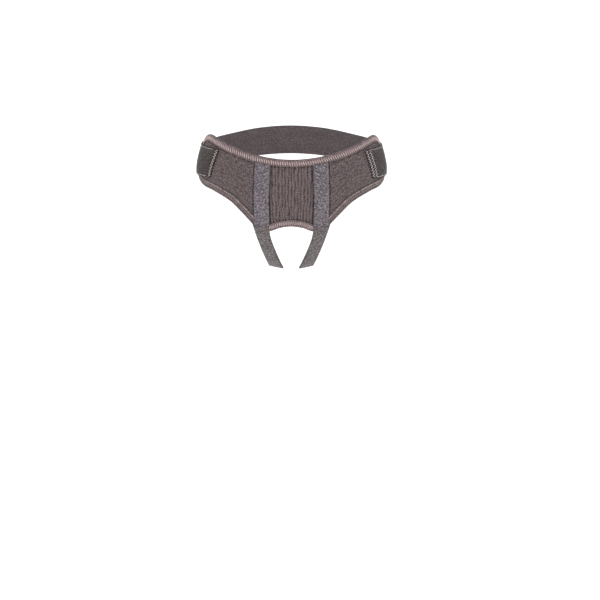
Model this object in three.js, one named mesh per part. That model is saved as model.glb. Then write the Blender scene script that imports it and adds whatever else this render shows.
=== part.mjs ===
// A hernia belt in the form that it has when worn: a ribbed front panel between two padded side
// panels, bound along every edge, an elastic band round the back that closes with a hook-and-loop
// tab over each hip, and two elastic straps from the front, between the legs, to the band.
// Millimetres, +Z up, the front faces -Y. The origin lies on the axis of the hips, level with the
// top edge of the front middle. Left and right are the wearer's, so left is at +X.

import * as THREE from "three";

// Hips inside the belt
const HIP_HALF_BREADTH = 159;
const HIP_FRONT_DEPTH = 101;
const HIP_BACK_DEPTH = 114;
const HIP_ROUNDNESS = 2.3; // 2 would make each level an ellipse
const HIP_LEVEL = 100; // what the levels of the hip sections are shares of

// Front, with every turn in degrees from the front middle
const TOP_RISE = 38; // from the front middle up to the peaks of the side panels
const PANEL_DROP = 120; // from the front middle's top edge down to the lowest edge
const CENTRE_TURN = 27.5; // joint of the ribbed panel and a side panel, under a strap
const WING_TURN = 88.5; // rear end of a side panel
const RIB_COUNT = 18;
const RIB_RELIEF = 0.7;
const EDGE_THICKNESS = 1.6; // of each panel inside its binding
const PAD_THICKNESS = 4; // of the padded middle of a side panel
const PAD_SLOPE = 8; // length over which the padding swells

// Binding, a tape folded over an edge
const BINDING_DEPTH = 11;
const BINDING_WALL = 0.9;
const BINDING_MARGIN = 1.5; // that the panel stays thin beyond its binding
const FOLD_SHARE = 0.6; // breadth of the fold's flat rim as a share of the binding's

// Straps
const STRAP_WIDTH = 25.4;
const STRAP_THICKNESS = 1.6;
const STRAP_SPREAD = 50; // from the front middle to a strap's middle
const CROTCH_DROP = 191; // from the front middle's top edge down to the straps' lowest point
const STRAP_END_TURN = 144; // where a strap is sewn on the band
const STRAP_END_MARGIN = 6; // from a strap's end to the band's top edge

// Back band and hip tabs
const BAND_HEIGHT = 50;
const BAND_THICKNESS = 2.2;
const BAND_RISE = 22; // from the belt's level up to the band's middle line at the back
const BAND_FOLD_TURN = 106; // the band's end is folded double as far as this
const TAB_FRONT_TURN = 62.7;
const TAB_REAR_TURN = 104;
const TAB_LEAN_TURN = 5.2; // how much further forward a tab's top corner lies than its lower one
const TAB_HEIGHT = 50;
const TAB_THICKNESS = 1.8;
const TAB_CORNER = 5; // radius

// Clearances
const CLEARANCE = 0.35; // between two layers
const SEAM_TURN = 0.12; // on each side of a butt joint of the front, in degrees
const BUTT_TURN = 0.6; // between a side panel's end and the band's end, in degrees

// Layers, as heights over the hips
const RIB_LEVEL = EDGE_THICKNESS + CLEARANCE + BINDING_WALL; // the ribs end level with the binding
const STRAP_LEVEL = RIB_LEVEL + CLEARANCE;
const TAB_LEVEL = PAD_THICKNESS + CLEARANCE;
const STRAP_END_LEVEL = BAND_THICKNESS + CLEARANCE;

// Mesh steps
const TURN_STEP = 3.2;
const ROWS_PER_EDGE = 5;
const ROWS_BETWEEN = 2;
const EDGE_ROOM = 0.48; // most of a panel's height that its close rows may take from either edge
const COLUMNS_PER_RIB = 3;
const STRAP_COLUMNS = 4;
const STRAP_ROWS = 6; // on the front
const STRAP_END_ROWS = 4; // on the band
const STRAP_STEPS = 2; // for each row of the strap tables
const STRAP_PASSES = 4; // in which the turn of a strap is found
const TAB_ROWS = [0, 0.03, 0.1, 0.37, 0.63, 0.9, 0.97, 1]; // shares of its height
const BAND_ROWS = 3;
const FINE_STEP = 0.01; // for slopes, in degrees or millimetres
const EDGE_REACH = 12; // degrees to each side in which the nearest point of an edge is looked for

// Sections of the hips, each a share of its named size
const HIP_SECTIONS = [
  { level: -1.25, half: 0.68, front: 0.82, back: 0.9 },
  { level: -0.95, half: 0.82, front: 0.925, back: 0.97 },
  { level: -0.7, half: 0.915, front: 0.975, back: 1 },
  { level: -0.45, half: 0.98, front: 1, back: 1 },
  { level: -0.2, half: 0.995, front: 1, back: 1 },
  { level: 0, half: 0.975, front: 0.99, back: 0.99 },
  { level: 0.15, half: 0.95, front: 0.978, back: 0.975 },
  { level: 0.3, half: 0.925, front: 0.958, back: 0.955 },
  { level: 0.45, half: 0.885, front: 0.935, back: 0.93 },
  { level: 0.6, half: 0.84, front: 0.91, back: 0.9 },
];

// Top edge of the front, as shares of TOP_RISE
const TOP_EDGE = [
  { turn: -19, rise: 0.066 },
  { turn: 0, rise: 0 },
  { turn: 19, rise: 0.066 },
  { turn: 36, rise: 0.25 },
  { turn: 54, rise: 0.595 },
  { turn: 66, rise: 0.88 },
  { turn: 74, rise: 1 },
  { turn: 80, rise: 0.94 },
  { turn: 88.5, rise: 0.68 },
];

// Lower edge of the front: the arch, the corner under the strap and the leg edge
const LOWER_EDGE = [
  { turn: -13, drop: 0.948 },
  { turn: 0, drop: 0.925 },
  { turn: 13, drop: 0.948 },
  { turn: 22, drop: 0.992 },
  { turn: 30, drop: 1 },
  { turn: 37, drop: 0.94 },
  { turn: 41.2, drop: 0.845 },
  { turn: 46.5, drop: 0.72 },
  { turn: 53.5, drop: 0.575 },
  { turn: 65.8, drop: 0.44 },
  { turn: 75, drop: 0.385 },
  { turn: 82, drop: 0.315 },
  { turn: 88.5, drop: 0.225 },
];

// Middle line of the tabs and the back band, as shares of BAND_RISE
const BAND_LINE = [
  { turn: 55, rise: -0.46 },
  { turn: 88, rise: -0.18 },
  { turn: 104, rise: 0 },
  { turn: 125, rise: 0.36 },
  { turn: 150, rise: 0.82 },
  { turn: 180, rise: 1 },
  { turn: 210, rise: 0.82 },
];

// Middle of a strap on the front: drop is a share of PANEL_DROP, across of STRAP_SPREAD
const STRAP_LINE = [
  { drop: 0, across: 0.955 },
  { drop: 0.55, across: 1 },
  { drop: 1, across: 0.965 },
];

// A strap's way between the legs: across is a share of STRAP_SPREAD, depth of HIP_BACK_DEPTH and
// drop of CROTCH_DROP. Its outer edge turns back and up by these degrees.
const STRAP_RUN = [
  { across: 0.86, depth: -0.675, drop: 0.737, back: 30, up: 2 },
  { across: 0.69, depth: -0.465, drop: 0.88, back: 32, up: 8 },
  { across: 0.545, depth: -0.21, drop: 0.974, back: 18, up: 10 },
  { across: 0.52, depth: 0.07, drop: 1, back: -4, up: 10 },
  { across: 0.635, depth: 0.37, drop: 0.968, back: -22, up: 4 },
  { across: 0.86, depth: 0.66, drop: 0.858, back: -32, up: -8 },
  { across: 1.13, depth: 0.86, drop: 0.674, back: -32, up: -20 },
  { across: 1.34, depth: 0.95, drop: 0.463, back: -28, up: -18 },
  { across: 1.46, depth: 0.955, drop: 0.253, back: -23, up: -8 },
];

const mix = THREE.MathUtils.lerp;
const ease = (share) => THREE.MathUtils.smoothstep(share, 0, 1);

// Slope of a table's column at one of its rows
function slopeAt(table, key, column, row) {
  const before = table[Math.max(row - 1, 0)];
  const after = table[Math.min(row + 1, table.length - 1)];
  return (after[column] - before[column]) / (after[key] - before[key]);
}

// Value of a table's column at a place between its rows, on a smooth curve through them
function readTable(table, key, column, place) {
  let row = 0;
  while (row < table.length - 2 && place > table[row + 1][key]) row += 1;
  const step = table[row + 1][key] - table[row][key];
  const t = THREE.MathUtils.clamp((place - table[row][key]) / step, 0, 1);
  const start = table[row][column];
  const end = table[row + 1][column];
  const leave = slopeAt(table, key, column, row) * step;
  const arrive = slopeAt(table, key, column, row + 1) * step;
  const bend = 2 * (start - end) + leave + arrive;
  return start + t * (leave + t * (3 * (end - start) - 2 * leave - arrive + t * bend));
}

// Point of the hips at a turn from the front and a height
function hipPoint(turn, height) {
  const angle = THREE.MathUtils.degToRad(turn);
  const level = height / HIP_LEVEL;
  const half = HIP_HALF_BREADTH * readTable(HIP_SECTIONS, "level", "half", level);
  const inFront = Math.cos(angle) > 0;
  const side = inFront ? "front" : "back";
  const fullDepth = inFront ? HIP_FRONT_DEPTH : HIP_BACK_DEPTH;
  const depth = fullDepth * readTable(HIP_SECTIONS, "level", side, level);
  const across = Math.abs(Math.sin(angle) / half) ** HIP_ROUNDNESS;
  const along = Math.abs(Math.cos(angle) / depth) ** HIP_ROUNDNESS;
  const radius = (across + along) ** (-1 / HIP_ROUNDNESS);
  return new THREE.Vector3(radius * Math.sin(angle), -radius * Math.cos(angle), height);
}

// How the hips' point moves with each degree of turn and each millimetre of height
function hipSlopes(turn, height) {
  const byTurn = hipPoint(turn + FINE_STEP, height).sub(hipPoint(turn - FINE_STEP, height));
  const byHeight = hipPoint(turn, height + FINE_STEP).sub(hipPoint(turn, height - FINE_STEP));
  return [byTurn.divideScalar(2 * FINE_STEP), byHeight.divideScalar(2 * FINE_STEP)];
}

function hipNormal(turn, height) {
  const [byTurn, byHeight] = hipSlopes(turn, height);
  return byTurn.cross(byHeight).normalize();
}

// Point that lies a layer's height over the hips
function overHips(turn, height, lift) {
  return hipPoint(turn, height).addScaledVector(hipNormal(turn, height), lift);
}

// Degrees of turn for a length along the hips
function turnOf(length, turn, height) {
  return length / hipSlopes(turn, height)[0].length();
}

const topEdge = (turn) => TOP_RISE * readTable(TOP_EDGE, "turn", "rise", Math.abs(turn));
const lowerEdge = (turn) => -PANEL_DROP * readTable(LOWER_EDGE, "turn", "drop", Math.abs(turn));
const bandLine = (turn) => BAND_RISE * readTable(BAND_LINE, "turn", "rise", turn);

// Cosine of an edge's slope against the level, which turns heights into distances from the edge
function edgeLean(edge, turn) {
  const rise = (edge(turn + FINE_STEP) - edge(turn - FINE_STEP)) / (2 * FINE_STEP);
  return 1 / Math.hypot(1, turnOf(rise, turn, edge(turn)));
}

// Distance from a place on the hips to the nearest point of an edge
function distanceTo(edge, turn, height) {
  const place = hipPoint(turn, height);
  let nearest = Infinity;
  for (let beside = turn - EDGE_REACH; beside <= turn + EDGE_REACH; beside += 1) {
    nearest = Math.min(nearest, place.distanceTo(hipPoint(beside, edge(beside))));
  }
  return nearest;
}

// Turn at which a strap's middle crosses a height of the front
function strapTurn(height) {
  const drop = THREE.MathUtils.clamp(-height / PANEL_DROP, 0, 1);
  const across = STRAP_SPREAD * readTable(STRAP_LINE, "drop", "across", drop);
  let turn = CENTRE_TURN;
  for (let pass = 0; pass < STRAP_PASSES; pass += 1) {
    turn += turnOf(across - hipPoint(turn, height).x, turn, height);
  }
  return turn;
}

// Turns a closed mesh so that its faces point outwards
function facingOut(geometry) {
  const index = geometry.index.array;
  const corners = [0, 1, 2].map(() => new THREE.Vector3());
  let volume = 0;
  for (let i = 0; i < index.length; i += 3) {
    corners.forEach((corner, k) => corner.fromBufferAttribute(geometry.attributes.position, index[i + k]));
    volume += corners[0].dot(corners[1].cross(corners[2]));
  }
  if (volume < 0) index.reverse();
  geometry.computeVertexNormals();
  return geometry;
}

function closedMesh(points, faces) {
  const geometry = new THREE.BufferGeometry().setFromPoints(points);
  geometry.setIndex(faces);
  return facingOut(geometry);
}

// Wall between an inner and an outer face, where place(i, j) gives the pair of points
function wall(columns, rows, place) {
  const points = [];
  const faces = [];
  const at = (i, j, side) => (i * (rows + 1) + j) * 2 + side;
  const quad = (a, b, c, d) => faces.push(a, b, c, a, c, d);
  for (let i = 0; i <= columns; i += 1) {
    for (let j = 0; j <= rows; j += 1) points.push(...place(i, j));
  }
  for (let i = 0; i < columns; i += 1) {
    for (let j = 0; j < rows; j += 1) {
      quad(at(i, j, 1), at(i + 1, j, 1), at(i + 1, j + 1, 1), at(i, j + 1, 1));
      quad(at(i, j, 0), at(i, j + 1, 0), at(i + 1, j + 1, 0), at(i + 1, j, 0));
    }
    quad(at(i, 0, 0), at(i + 1, 0, 0), at(i + 1, 0, 1), at(i, 0, 1));
    quad(at(i, rows, 1), at(i + 1, rows, 1), at(i + 1, rows, 0), at(i, rows, 0));
  }
  for (let j = 0; j < rows; j += 1) {
    quad(at(0, j, 0), at(0, j, 1), at(0, j + 1, 1), at(0, j + 1, 0));
    quad(at(columns, j, 1), at(columns, j, 0), at(columns, j + 1, 0), at(columns, j + 1, 1));
  }
  return closedMesh(points, faces);
}

// Solid of one outline carried through stations, with both ends closed
function sweep(outline, stations, place) {
  const points = [];
  const faces = [];
  const count = outline.length;
  for (let i = 0; i <= stations; i += 1) {
    outline.forEach((corner) => points.push(place(i, corner)));
  }
  for (let i = 0; i < stations; i += 1) {
    for (let k = 0; k < count; k += 1) {
      const next = (k + 1) % count;
      const [a, b] = [i * count + k, i * count + next];
      faces.push(a, b, b + count, a, b + count, a + count);
    }
  }
  const last = stations * count;
  for (const [a, b, c] of THREE.ShapeUtils.triangulateShape(outline, [])) {
    faces.push(c, b, a, last + a, last + b, last + c);
  }
  return closedMesh(points, faces);
}

// Rows of a front panel at one turn: close together where it thickens beside its bindings
function panelHeight(turn, row) {
  const top = topEdge(turn);
  const bottom = lowerEdge(turn);
  const thin = BINDING_DEPTH + BINDING_MARGIN;
  const steps = [0, thin / 3, (2 * thin) / 3, thin, thin + PAD_SLOPE / 2, thin + PAD_SLOPE];
  const room = (EDGE_ROOM * (top - bottom)) / steps[ROWS_PER_EDGE];
  const up = steps.map((step) => bottom + step * Math.min(room, 1 / edgeLean(lowerEdge, turn)));
  const down = steps.map((step) => top - step * Math.min(room, 1 / edgeLean(topEdge, turn)));
  if (row <= ROWS_PER_EDGE) return up[row];
  const fromTop = 2 * ROWS_PER_EDGE + ROWS_BETWEEN - row;
  if (fromTop <= ROWS_PER_EDGE) return down[fromTop];
  return mix(up[ROWS_PER_EDGE], down[ROWS_PER_EDGE], (row - ROWS_PER_EDGE) / ROWS_BETWEEN);
}

// Thickness that grows from the bound edges to the panel's own, clear of the bindings
function boundThickness(turn, height, middle) {
  const nearest = Math.min(distanceTo(topEdge, turn, height), distanceTo(lowerEdge, turn, height));
  const inside = nearest - BINDING_DEPTH - BINDING_MARGIN;
  return mix(EDGE_THICKNESS, middle, ease(inside / PAD_SLOPE));
}

function panel(fromTurn, toTurn, columns, middleThickness) {
  const place = (i, j) => {
    const turn = mix(fromTurn, toTurn, i / columns);
    const height = panelHeight(turn, j);
    const thickness = boundThickness(turn, height, middleThickness(turn, height, i));
    return [hipPoint(turn, height), overHips(turn, height, thickness)];
  };
  return wall(columns, 2 * ROWS_PER_EDGE + ROWS_BETWEEN, place);
}

function centrePanel() {
  const edge = CENTRE_TURN - SEAM_TURN;
  const ribbed = (turn, height, column) => {
    const wave = 0.5 + 0.5 * Math.cos((2 * Math.PI * column) / COLUMNS_PER_RIB);
    return RIB_LEVEL - RIB_RELIEF * wave;
  };
  return panel(-edge, edge, RIB_COUNT * COLUMNS_PER_RIB, ribbed);
}

function sidePanel() {
  const fromTurn = CENTRE_TURN + SEAM_TURN;
  const columns = Math.ceil((WING_TURN - fromTurn) / TURN_STEP);
  const padded = (turn, height) => {
    const middle = strapTurn(height);
    const outside = (turn - middle) / turnOf(1, middle, height) - STRAP_WIDTH / 2;
    return mix(RIB_LEVEL, PAD_THICKNESS, ease(outside / PAD_SLOPE));
  };
  return panel(fromTurn, WING_TURN, columns, padded);
}

// Outline of a binding, anticlockwise: x is the height over the hips, y the distance from the edge
// into the panel
function bindingOutline() {
  const middle = EDGE_THICKNESS / 2;
  const inner = middle + CLEARANCE;
  const outer = inner + BINDING_WALL;
  const fold = -CLEARANCE - BINDING_WALL;
  const corners = [
    [middle + inner, -CLEARANCE],
    [middle - inner, -CLEARANCE],
    [middle - inner, BINDING_DEPTH / 2],
    [middle - inner, BINDING_DEPTH],
    [middle - outer, BINDING_DEPTH],
    [middle - outer, BINDING_DEPTH / 2],
    [middle - outer, 0],
    [middle - FOLD_SHARE * outer, fold],
    [middle + FOLD_SHARE * outer, fold],
    [middle + outer, 0],
    [middle + outer, BINDING_DEPTH / 2],
    [middle + outer, BINDING_DEPTH],
    [middle + inner, BINDING_DEPTH],
    [middle + inner, BINDING_DEPTH / 2],
  ];
  return corners.map(([lift, depth]) => new THREE.Vector2(lift, depth));
}

// Binding along an edge. It lies square to the edge, and into is 1 for a panel above the edge and
// -1 for a panel below it.
function binding(edge, into, fromTurn, toTurn) {
  const stations = Math.ceil((toTurn - fromTurn) / TURN_STEP);
  const place = (i, corner) => {
    const turn = mix(fromTurn, toTurn, i / stations);
    const height = edge(turn);
    const ahead = turn + FINE_STEP;
    const behind = turn - FINE_STEP;
    const along = hipPoint(ahead, edge(ahead)).sub(hipPoint(behind, edge(behind))).normalize();
    const inward = along.cross(hipNormal(turn, height)).normalize();
    inward.multiplyScalar(into * Math.sign(inward.z));
    const [byTurn, byHeight] = hipSlopes(turn, height);
    const rise = inward.z * corner.y;
    const run = inward.clone().multiplyScalar(corner.y).addScaledVector(byHeight, -rise);
    const turnThere = turn + run.dot(byTurn) / byTurn.lengthSq();
    return overHips(turnThere, height + rise, corner.x);
  };
  return sweep(bindingOutline(), stations, place);
}

// Rows of points across a strap, from under the top binding to its end on the back band
function strapRows(offset) {
  const rows = [];
  for (let i = 0; i <= STRAP_ROWS; i += 1) {
    const share = i / STRAP_ROWS;
    const roughTop = topEdge(CENTRE_TURN) - BINDING_DEPTH;
    const roughTurn = strapTurn(roughTop) + turnOf(offset, strapTurn(roughTop), roughTop);
    const depth = BINDING_DEPTH / edgeLean(topEdge, roughTurn) + CLEARANCE;
    const height = mix(topEdge(roughTurn) - depth, -PANEL_DROP, share);
    const middle = strapTurn(height);
    rows.push(overHips(middle + turnOf(offset, middle, height), height, STRAP_LEVEL));
  }
  const centres = STRAP_RUN.map((row) => new THREE.Vector3(
    row.across * STRAP_SPREAD, row.depth * HIP_BACK_DEPTH, -row.drop * CROTCH_DROP));
  STRAP_RUN.forEach((row, i) => {
    const before = centres[Math.max(i - 1, 0)];
    const after = centres[Math.min(i + 1, centres.length - 1)];
    const along = after.clone().sub(before).normalize();
    const back = THREE.MathUtils.degToRad(row.back);
    const up = THREE.MathUtils.degToRad(row.up);
    const across = new THREE.Vector3(Math.cos(back) * Math.cos(up), Math.sin(back) * Math.cos(up), Math.sin(up));
    across.addScaledVector(along, -across.dot(along)).normalize();
    rows.push(centres[i].clone().addScaledVector(across, offset));
  });
  const end = bandLine(STRAP_END_TURN) + BAND_HEIGHT / 2 - STRAP_END_MARGIN;
  const start = bandLine(STRAP_END_TURN) - BAND_HEIGHT / 2 - STRAP_END_MARGIN;
  for (let i = 0; i <= STRAP_END_ROWS; i += 1) {
    const height = mix(start, end, i / STRAP_END_ROWS);
    const turn = STRAP_END_TURN - turnOf(offset, STRAP_END_TURN, height);
    rows.push(overHips(turn, height, STRAP_END_LEVEL));
  }
  return rows;
}

// Ribbon through those rows, with its thickness laid on the side away from the wearer
function strap() {
  const offsets = Array.from({ length: STRAP_COLUMNS + 1 }, (_, k) => STRAP_WIDTH * (k / STRAP_COLUMNS - 0.5));
  const rails = offsets.map((offset) => new THREE.CatmullRomCurve3(strapRows(offset), false, "centripetal"));
  const stations = (rails[0].points.length - 1) * STRAP_STEPS;
  const seat = (i, k) => rails[k].getPoint(i / stations);
  const place = (i, k) => {
    const along = seat(Math.min(i + 1, stations), k).sub(seat(Math.max(i - 1, 0), k));
    const across = seat(i, Math.min(k + 1, STRAP_COLUMNS)).sub(seat(i, Math.max(k - 1, 0)));
    const outward = across.cross(along).negate().normalize();
    return [seat(i, k), seat(i, k).addScaledVector(outward, STRAP_THICKNESS)];
  };
  return wall(stations, STRAP_COLUMNS, place);
}

// Tab with rounded corners, pressed on the side panel and sewn to the band's folded end
function hipTab() {
  const rows = TAB_ROWS.length - 1;
  const columns = Math.ceil((TAB_REAR_TURN - TAB_FRONT_TURN) / TURN_STEP);
  const place = (i, j) => {
    const share = TAB_ROWS[j];
    const height = TAB_HEIGHT * (share - 0.5);
    const toCorner = Math.max(TAB_CORNER - (TAB_HEIGHT / 2 - Math.abs(height)), 0);
    const inset = TAB_CORNER - Math.sqrt(TAB_CORNER ** 2 - toCorner ** 2);
    const insetTurn = turnOf(inset, TAB_FRONT_TURN, 0);
    const front = TAB_FRONT_TURN + TAB_LEAN_TURN * (0.5 - share) + insetTurn;
    const turn = mix(front, TAB_REAR_TURN - insetTurn, i / columns);
    const level = bandLine(turn) + height;
    return [overHips(turn, level, TAB_LEVEL), overHips(turn, level, TAB_LEVEL + TAB_THICKNESS)];
  };
  return wall(columns, rows, place);
}

// Band round the back, folded double at both ends where the tabs are sewn on
function backBand() {
  const fromTurn = WING_TURN + BUTT_TURN;
  const toTurn = 360 - fromTurn;
  const columns = 2 * Math.ceil((toTurn - fromTurn) / TURN_STEP / 2);
  const place = (i, j) => {
    const turn = mix(fromTurn, toTurn, i / columns);
    const nearer = Math.min(turn, 360 - turn);
    const height = bandLine(nearer) + BAND_HEIGHT * (j / BAND_ROWS - 0.5);
    const folded = ease((BAND_FOLD_TURN - nearer) / TURN_STEP);
    const thickness = mix(BAND_THICKNESS, PAD_THICKNESS, folded);
    return [hipPoint(turn, height), overHips(turn, height, thickness)];
  };
  return wall(columns, BAND_ROWS, place);
}

function cloth(colour, roughness) {
  return new THREE.MeshStandardMaterial({ color: colour, roughness, metalness: 0 });
}

const RIBBED_KNIT = cloth(0x6a5e60, 0.95);
const PADDED_KNIT = cloth(0x675b5d, 0.97);
const BINDING_TAPE = cloth(0x89797b, 0.85);
const STRAP_WEB = cloth(0x797176, 0.88);
const BAND_WEB = cloth(0x62585a, 0.9);
const TAB_CLOTH = cloth(0x585252, 0.9);

const belt = new THREE.Group();

function addPiece(name, geometry, material) {
  const mesh = new THREE.Mesh(geometry, material);
  mesh.name = name;
  belt.add(mesh);
}

// Adds a piece of the wearer's left and its mirror image
function addPair(name, geometry, material) {
  addPiece(`${name}_left`, geometry, material);
  addPiece(`${name}_right`, facingOut(geometry.clone().scale(-1, 1, 1)), material);
}

addPiece("centre_panel", centrePanel(), RIBBED_KNIT);
addPair("side_panel", sidePanel(), PADDED_KNIT);
addPiece("top_binding", binding(topEdge, -1, -WING_TURN, WING_TURN), BINDING_TAPE);
addPiece("arch_binding", binding(lowerEdge, 1, -CENTRE_TURN + SEAM_TURN, CENTRE_TURN - SEAM_TURN), BINDING_TAPE);
addPair("leg_binding", binding(lowerEdge, 1, CENTRE_TURN + SEAM_TURN, WING_TURN), BINDING_TAPE);
addPair("strap", strap(), STRAP_WEB);
addPair("hip_tab", hipTab(), TAB_CLOTH);
addPiece("back_band", backBand(), BAND_WEB);

export default belt;
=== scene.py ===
import math
import random

import bmesh
import bpy
import numpy as np
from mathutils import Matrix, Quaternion, Vector


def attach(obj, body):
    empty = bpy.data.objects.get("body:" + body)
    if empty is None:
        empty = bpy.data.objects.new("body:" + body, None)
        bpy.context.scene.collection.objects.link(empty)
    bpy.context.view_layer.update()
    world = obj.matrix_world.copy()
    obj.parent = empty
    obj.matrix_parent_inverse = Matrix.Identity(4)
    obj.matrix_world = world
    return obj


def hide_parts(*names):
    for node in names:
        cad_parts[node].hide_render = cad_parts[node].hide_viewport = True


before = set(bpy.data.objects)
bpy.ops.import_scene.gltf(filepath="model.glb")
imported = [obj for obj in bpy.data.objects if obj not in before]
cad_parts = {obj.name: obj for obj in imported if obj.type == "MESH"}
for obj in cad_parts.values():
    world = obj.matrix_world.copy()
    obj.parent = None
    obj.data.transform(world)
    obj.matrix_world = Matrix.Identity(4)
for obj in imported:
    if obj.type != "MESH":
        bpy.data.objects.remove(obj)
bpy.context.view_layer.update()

# Studio: a white room with a rounded floor and soft light from all round. The camera stands far
# off with a long lens, a little above the belt.
ROOM_RADIUS = 6.5
ROOM_HEIGHT = 10.5
ROOM_CURVE = 2
FLOOR_DROP = 3.2
CAMERA_PLACE = (0, -3.49147, 0.24415)
CAMERA_AIM = (0.01553, -0.01733, -0.24781)
CAMERA_LEAN = 0.3
CAMERA_LENS = 121.53
BELT_MIDDLE = Vector((0, 0, -0.07))


def add_object(name, data):
    piece = bpy.data.objects.new(name, data)
    bpy.context.scene.collection.objects.link(piece)
    return piece


def add_node(tree, kind, inputs=(), **settings):
    """New node with its settings, and its inputs by name or number: a value or a socket."""
    node = tree.nodes.new(kind)
    for key, value in settings.items():
        setattr(node, key, value)
    for key, value in dict(inputs).items():
        if isinstance(value, bpy.types.NodeSocket):
            tree.links.new(value, node.inputs[key])
        else:
            node.inputs[key].default_value = value
    return node


def colour(red, green, blue):
    """Colour of 0 to 255, as a screen shows it, in the linear values that a shader takes."""
    shares = [value / 255 for value in (red, green, blue)]
    return (*[((x + 0.055) / 1.055) ** 2.4 for x in shares], 1)


def new_material(name, **sockets):
    """Material and its shader, with the shader's constant sockets set."""
    material = bpy.data.materials.new(name)
    material.use_nodes = True
    shader = material.node_tree.nodes["Principled BSDF"]
    for key, value in sockets.items():
        shader.inputs[key.replace("_", " ")].default_value = value
    return material, shader


bm = bmesh.new()
profile = [(0, 0)]
for angle in np.linspace(0, math.pi / 2, 12):
    profile.append((ROOM_RADIUS + ROOM_CURVE * (math.sin(angle) - 1), ROOM_CURVE * (1 - math.cos(angle))))
profile.append((ROOM_RADIUS, ROOM_HEIGHT))
verts = [bm.verts.new((radius, 0, height - FLOOR_DROP)) for radius, height in profile]
edges = [bm.edges.new(pair) for pair in zip(verts, verts[1:])]
bmesh.ops.spin(
    bm, geom=verts + edges, axis=(0, 0, 1), cent=(0, 0, 0), angle=2 * math.pi, steps=96, use_merge=True)
bmesh.ops.remove_doubles(bm, verts=bm.verts[:], dist=1e-4)
bmesh.ops.recalc_face_normals(bm, faces=bm.faces[:])
for face in bm.faces:
    face.smooth = True
room_mesh = bpy.data.meshes.new("room")
bm.to_mesh(room_mesh)
bm.free()
room = add_object("room", room_mesh)
room_paint, shader = new_material("room_paint", Roughness=0.9)
shader.inputs["Base Color"].default_value = (0.9, 0.9, 0.9, 1)
shader.inputs["Emission Color"].default_value = (1, 1, 1, 1)
shader.inputs["Emission Strength"].default_value = 0.3
room_mesh.materials.append(room_paint)

world = bpy.data.worlds.new("soft_light")
world.use_nodes = True
world.node_tree.nodes["Background"].inputs["Color"].default_value = (1, 0.995, 0.99, 1)
world.node_tree.nodes["Background"].inputs["Strength"].default_value = 0.35
bpy.context.scene.world = world
for name, place, size, power in (
        ("key_light", (0.9, -3.4, 2.5), 1.2, 64),
        ("fill_light", (-2.2, -3.0, 0.7), 1.8, 16),
        ("rear_light", (-0.8, 3.6, 2.2), 2.2, 58)):
    lamp = bpy.data.lights.new(name, "AREA")
    lamp.size = size
    lamp.energy = power
    light = add_object(name, lamp)
    light.location = place
    light.rotation_mode = "QUATERNION"
    light.rotation_quaternion = (BELT_MIDDLE - light.location).to_track_quat("-Z", "Y")
    light.visible_camera = False

lens = bpy.data.cameras.new("camera")
lens.lens = CAMERA_LENS
lens.sensor_width = 36
camera = add_object("camera", lens)
camera.location = CAMERA_PLACE
camera.rotation_mode = "QUATERNION"
upright = (Vector(CAMERA_AIM) - camera.location).to_track_quat("-Z", "Y")
camera.rotation_quaternion = upright @ Quaternion((0, 0, 1), math.radians(CAMERA_LEAN))
bpy.context.scene.camera = camera
bpy.context.scene.view_settings.view_transform = "Standard"

# Ribbed front panel: a double elastic knit in eighteen upright ribs, stretched over the front of
# the hips. Its top and its arched lower edge lie inside their bindings.
HIP_HALF_BREADTH = 0.159
HIP_FRONT_DEPTH = 0.101
HIP_BACK_DEPTH = 0.114
HIP_ROUNDNESS = 2.3
HIP_LEVEL = 0.1
TOP_RISE = 0.038
PANEL_DROP = 0.12
CENTRE_TURN = 27.5
SEAM_TURN = 0.12
EDGE_THICKNESS = 0.0016
BINDING_DEPTH = 0.011
RIB_LEVEL = 0.00285
RIB_COUNT = 18
RIB_DEPTH = 0.0012
RIB_COLUMNS = 16
RIB_ROWS = 120
PANEL_WIDTH = 0.107
PANEL_HEIGHT = 0.115
COURSE_PITCH = 0.0044
BINDING_SLOPE = 0.0022
GATHER_REACH = 0.0028
STRAP_WIDTH = 0.0254
STRAP_SPREAD = 0.05
STRAP_PASSES = 4
SEAM_WIDTH = 0.0014
FINE_TURN = 0.01
FINE_LENGTH = 1e-5

# Shape of the hips: level, half breadth, front depth and back depth, each a share of its size
HIP_SECTIONS = np.array([
    (-1.25, 0.68, 0.82, 0.9),
    (-0.95, 0.82, 0.925, 0.97),
    (-0.7, 0.915, 0.975, 1),
    (-0.45, 0.98, 1, 1),
    (-0.2, 0.995, 1, 1),
    (0, 0.975, 0.99, 0.99),
    (0.15, 0.95, 0.978, 0.975),
    (0.3, 0.925, 0.958, 0.955),
    (0.45, 0.885, 0.935, 0.93),
    (0.6, 0.84, 0.91, 0.9),
])

# Edges of the front: degrees from the middle, then the share of TOP_RISE or PANEL_DROP
TOP_EDGE = np.array([
    (-19, 0.066), (0, 0), (19, 0.066), (36, 0.25), (54, 0.595),
    (66, 0.88), (74, 1), (80, 0.94), (88.5, 0.68),
])
LOWER_EDGE = np.array([
    (-13, 0.948), (0, 0.925), (13, 0.948), (22, 0.992), (30, 1), (37, 0.94), (41.2, 0.845),
    (46.5, 0.72), (53.5, 0.575), (65.8, 0.44), (75, 0.385), (82, 0.315), (88.5, 0.225),
])

# Middle of a strap on the front: share of PANEL_DROP, then of STRAP_SPREAD
STRAP_LINE = np.array([(0, 0.955), (0.55, 1), (1, 0.965)])


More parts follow.
